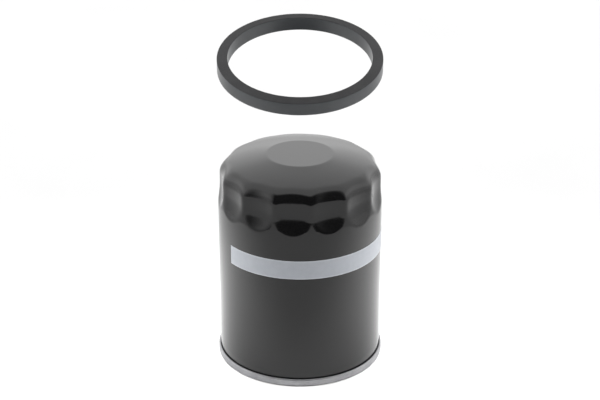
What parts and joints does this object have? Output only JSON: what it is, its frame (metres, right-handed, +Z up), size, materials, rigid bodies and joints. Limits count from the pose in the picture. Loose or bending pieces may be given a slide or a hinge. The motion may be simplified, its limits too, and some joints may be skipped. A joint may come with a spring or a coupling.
{
  "type": "spin-on oil filter",
  "caption": "Spin-on oil filter with a fluted domed can, rolled seam, threaded base, pleated element, bypass and anti-drain valves, and a square-cut sealing gasket drawn off.",
  "frame": {"origin": "on the can's axis, in the plane that the rolled seam stands on", "axes": "+Z up along the can's axis from the threaded base to the dome; -Y is the front, towards which the drawn-off gasket is tipped"},
  "size_m": [0.078, 0.078, 0.1565],
  "materials": {
    "black_paint": "satin-gloss black enamel on steel",
    "bare_seam_steel": "bare zinc-grey rolled sheet",
    "seam_compound": "cured sealing compound",
    "weld_steel": "resistance-weld nugget with a heat tint",
    "plate_steel": "pressed steel, lightly oiled",
    "black_rubber": "matte square-cut nitrile rubber",
    "grey_label": "matte cool grey printed strip with lighter edges",
    "silicone": "soft brick-red silicone",
    "cap_steel": "tin-plated pressed steel",
    "bond": "cured amber plastisol adhesive",
    "filter_paper": "resin-treated cellulose paper",
    "valve_steel": "pressed and turned valve steel",
    "spring_steel": "drawn spring wire"
  },
  "bodies": {
    "shell": {"can": "black_paint", "seam_cover": "bare_seam_steel", "seam_sealing_compound": "seam_compound", "spot_welds": "weld_steel", "threaded_base_plate": "plate_steel", "label_strip": "grey_label", "element_spring": "spring_steel"},
    "element": {"lower_end_cap": "cap_steel", "upper_end_cap": "cap_steel", "lower_cap_bond": "bond", "upper_cap_bond": "bond", "pleated_media": "filter_paper", "media_seam_clip": "cap_steel", "center_tube": "cap_steel", "bypass_seat": "valve_steel", "bypass_cage": "valve_steel", "bypass_spring": "spring_steel"},
    "anti_drain_flap": {"anti_drain_valve": "silicone"},
    "bypass_valve": {"bypass_poppet": "valve_steel", "bypass_seal": "black_rubber"},
    "gasket": {"sealing_gasket": "black_rubber"}
  },
  "joints": [
    {"name": "gasket_lift_off", "type": "slide", "parent": "shell", "child": "gasket", "axis": [0, 0, 1], "range_m": [-0.0367, 0]},
    {"name": "element_float", "type": "slide", "parent": "shell", "child": "element", "axis": [0, 0, 1], "range_m": [0, 0.0015], "stiffness_N_per_m": 5000, "springref_m": -0.004, "deforming": ["element_spring"]},
    {"name": "anti_drain_lift", "type": "slide", "parent": "shell", "child": "anti_drain_flap", "axis": [0, 0, 1], "range_m": [0, 0.0015], "stiffness_N_per_m": 300, "springref_m": -0.001, "deforming": ["anti_drain_valve"]},
    {"name": "bypass_open", "type": "slide", "parent": "element", "child": "bypass_valve", "axis": [0, 0, -1], "range_m": [0, 0.003], "stiffness_N_per_m": 2500, "springref_m": -0.0058, "deforming": ["bypass_spring"]}
  ]
}
